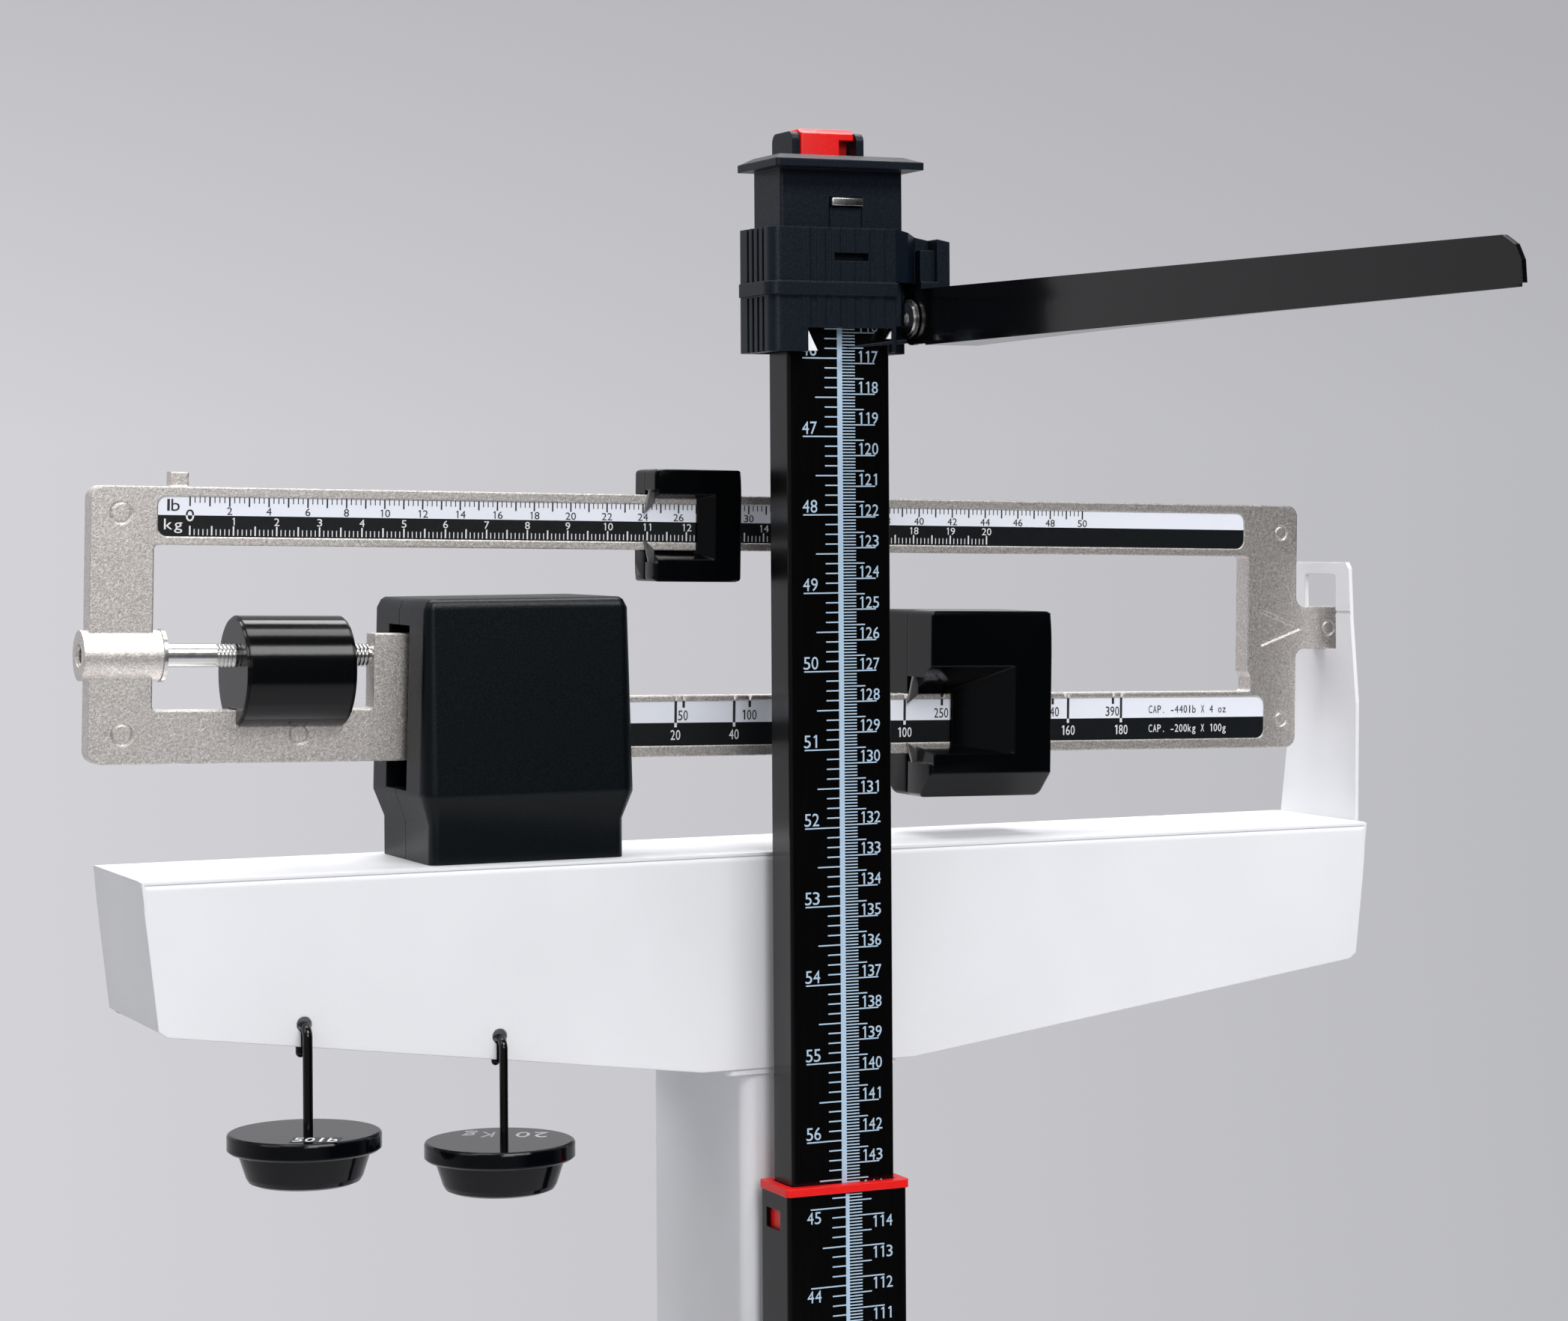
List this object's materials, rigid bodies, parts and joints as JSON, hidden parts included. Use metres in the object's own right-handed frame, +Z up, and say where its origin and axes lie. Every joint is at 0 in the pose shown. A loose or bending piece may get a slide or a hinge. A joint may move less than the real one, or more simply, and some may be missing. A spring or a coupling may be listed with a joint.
{
  "type": "physician beam scale",
  "caption": "Free-standing mechanical person scale with a two-bar beam and sliding poises on a pillar, a platform, and a telescopic height rod with a folding head arm.",
  "frame": {"origin": "on the floor, in the middle of the footprint, 200 mm in front of the middle of the pillar", "axes": "+Z up along the pillar, -Y towards the front of the platform and the tip of the head arm, +X to the right end of the beam"},
  "size_m": [0.4608, 0.56, 1.5852],
  "materials": {
    "frame_grey": "satin",
    "foot_rubber": "matte",
    "white_paint": "satin",
    "lever_steel": "satin",
    "zinc": "satin",
    "black_cover": "satin",
    "black_plastic": "matte",
    "black_tube": "satin",
    "red_plastic": "satin",
    "cast_beam": "cast",
    "knife_steel": "ground",
    "printed_strip": "satin",
    "black_weight": "satin",
    "black_iron": "satin",
    "white_plastic": "matte",
    "black_arm": "satin",
    "black_steel": "satin",
    "lever_iron": "painted",
    "mat_rubber": "ribbed"
  },
  "bodies": {
    "stand": {"base_frame": "frame_grey", "levelling_feet": "foot_rubber", "base_cover": "white_paint", "lever_stands": "lever_steel", "pillar_base": "frame_grey", "pillar_bolts": "zinc", "pillar": "white_paint", "pillar_top": "white_paint", "beam_housing": "white_paint", "housing_screws": "zinc", "index_bracket": "white_paint", "bracket_screws": "zinc", "fulcrum_stand": "lever_steel", "cover_front": "black_cover", "cover_rear": "black_cover", "cover_screws": "zinc", "shelf_stand": "lever_steel", "rod_brackets": "black_plastic", "outer_tube": "black_tube", "red_collar": "red_plastic"},
    "beam": {"beam": "cast_beam", "fulcrum_knife": "knife_steel", "load_knife": "knife_steel", "strip_upper": "printed_strip", "strip_lower": "printed_strip", "screw_washer": "zinc"},
    "balance_screw": {"balance_screw": "zinc"},
    "balance_weight": {"balance_weight": "black_weight"},
    "minor_poise": {"minor_front": "black_weight", "minor_rear": "black_weight", "minor_pointer": "zinc"},
    "major_poise": {"major_front": "black_iron", "major_rear": "black_iron", "major_pointer": "zinc"},
    "height_rod": {"inner_rod": "black_tube", "top_cap": "black_plastic", "latch_bar": "zinc"},
    "button": {"red_button": "red_plastic"},
    "headpiece": {"sleeve": "black_plastic", "sleeve_index": "white_plastic", "pivot_screw": "zinc"},
    "head_arm": {"head_arm": "black_arm"},
    "weight_lb": {"weight_lb_disc": "black_iron", "weight_lb_hook": "black_steel"},
    "weight_kg": {"weight_kg_disc": "black_iron", "weight_kg_hook": "black_steel"},
    "load_link": {"load_link": "lever_steel"},
    "shelf_lever": {"shelf_lever": "lever_steel"},
    "draft_rod": {"draft_rod": "lever_steel"},
    "long_lever": {"long_lever": "lever_iron"},
    "lever_loop": {"lever_loop": "lever_steel"},
    "short_lever": {"short_lever": "lever_iron"},
    "platform": {"platform_pan": "white_paint", "platform_mat": "mat_rubber"}
  },
  "joints": [
    {"name": "beam_tilt", "type": "hinge", "parent": "stand", "child": "beam", "pos_m": [-0.098, 0.1895, 1.408], "axis": [0, -1, 0], "range_deg": [0, 2.05]},
    {"name": "minor_poise_slide", "type": "slide", "parent": "beam", "child": "minor_poise", "axis": [0.9998, 0, -0.0201], "range_m": [-0.1535, 0.1663]},
    {"name": "major_poise_slide", "type": "slide", "parent": "beam", "child": "major_poise", "axis": [0.9998, 0, -0.0201], "range_m": [-0.1063, 0.085]},
    {"name": "balance_screw_turn", "type": "hinge", "parent": "beam", "child": "balance_screw", "pos_m": [-0.17785, 0.1895, 1.41605], "axis": [0.9998, 0, -0.0201], "range_deg": [-2450, 4380]},
    {"name": "balance_weight_slide", "type": "slide", "parent": "beam", "child": "balance_weight", "axis": [0.9998, 0, -0.0201], "range_m": [-0.0145, 0.0084]},
    {"name": "rod_slide", "type": "slide", "parent": "stand", "child": "height_rod", "axis": [0, 0, 1], "range_m": [-0.2695, 0.7]},
    {"name": "button_press", "type": "slide", "parent": "height_rod", "child": "button", "axis": [0, 0, -1], "range_m": [0, 0.002], "stiffness_N_per_m": 600, "springref_m": -0.001},
    {"name": "head_slide", "type": "slide", "parent": "height_rod", "child": "headpiece", "axis": [0, 0, -1], "range_m": [0, 0.85]},
    {"name": "arm_fold", "type": "hinge", "parent": "headpiece", "child": "head_arm", "pos_m": [0.024, 0.1312, 1.5233], "axis": [1, 0, 0], "range_deg": [0, 90]},
    {"name": "weight_lb_swing", "type": "hinge", "parent": "stand", "child": "weight_lb", "pos_m": [-0.1745, 0.1585, 1.3024], "axis": [0, -1, 0], "range_deg": [-18, 18]},
    {"name": "weight_kg_swing", "type": "hinge", "parent": "stand", "child": "weight_kg", "pos_m": [-0.1102, 0.1585, 1.2945], "axis": [0, -1, 0], "range_deg": [-18, 18]},
    {"name": "link_drop", "type": "slide", "parent": "stand", "child": "load_link", "axis": [0, 0, 1], "range_m": [-0.0007, 0.0001]},
    {"name": "shelf_lever_turn", "type": "hinge", "parent": "stand", "child": "shelf_lever", "pos_m": [0.12, 0.1895, 1.316], "axis": [0, -1, 0], "range_deg": [-0.02, 0.2]},
    {"name": "draft_rod_drop", "type": "slide", "parent": "stand", "child": "draft_rod", "axis": [0, 0, 1], "range_m": [-0.0004, 0.0001]},
    {"name": "long_lever_turn", "type": "hinge", "parent": "stand", "child": "long_lever", "pos_m": [0, -0.24, 0.041], "axis": [-1, 0, 0], "range_deg": [-0.01, 0.06]},
    {"name": "lever_loop_drop", "type": "slide", "parent": "stand", "child": "lever_loop", "axis": [0, 0, 1], "range_m": [-0.0002, 0.00005]},
    {"name": "short_lever_turn", "type": "hinge", "parent": "stand", "child": "short_lever", "pos_m": [0, 0.08, 0.029], "axis": [1, 0, 0], "range_deg": [-0.01, 0.05]},
    {"name": "platform_drop", "type": "slide", "parent": "stand", "child": "platform", "axis": [0, 0, 1], "range_m": [-0.0001, 0.00002]}
  ],
  "couplings": [
    {"joint": "balance_screw_turn", "follows": "balance_weight_slide", "rad_per_m": -5026.5},
    {"joint": "link_drop", "follows": "beam_tilt", "m_per_rad": -0.015},
    {"joint": "shelf_lever_turn", "follows": "beam_tilt", "ratio": 0.064378},
    {"joint": "draft_rod_drop", "follows": "beam_tilt", "m_per_rad": -0.0077253},
    {"joint": "long_lever_turn", "follows": "beam_tilt", "ratio": 0.017987},
    {"joint": "lever_loop_drop", "follows": "beam_tilt", "m_per_rad": -0.0025181},
    {"joint": "short_lever_turn", "follows": "beam_tilt", "ratio": 0.01399},
    {"joint": "platform_drop", "follows": "beam_tilt", "m_per_rad": -0.00065652}
  ]
}
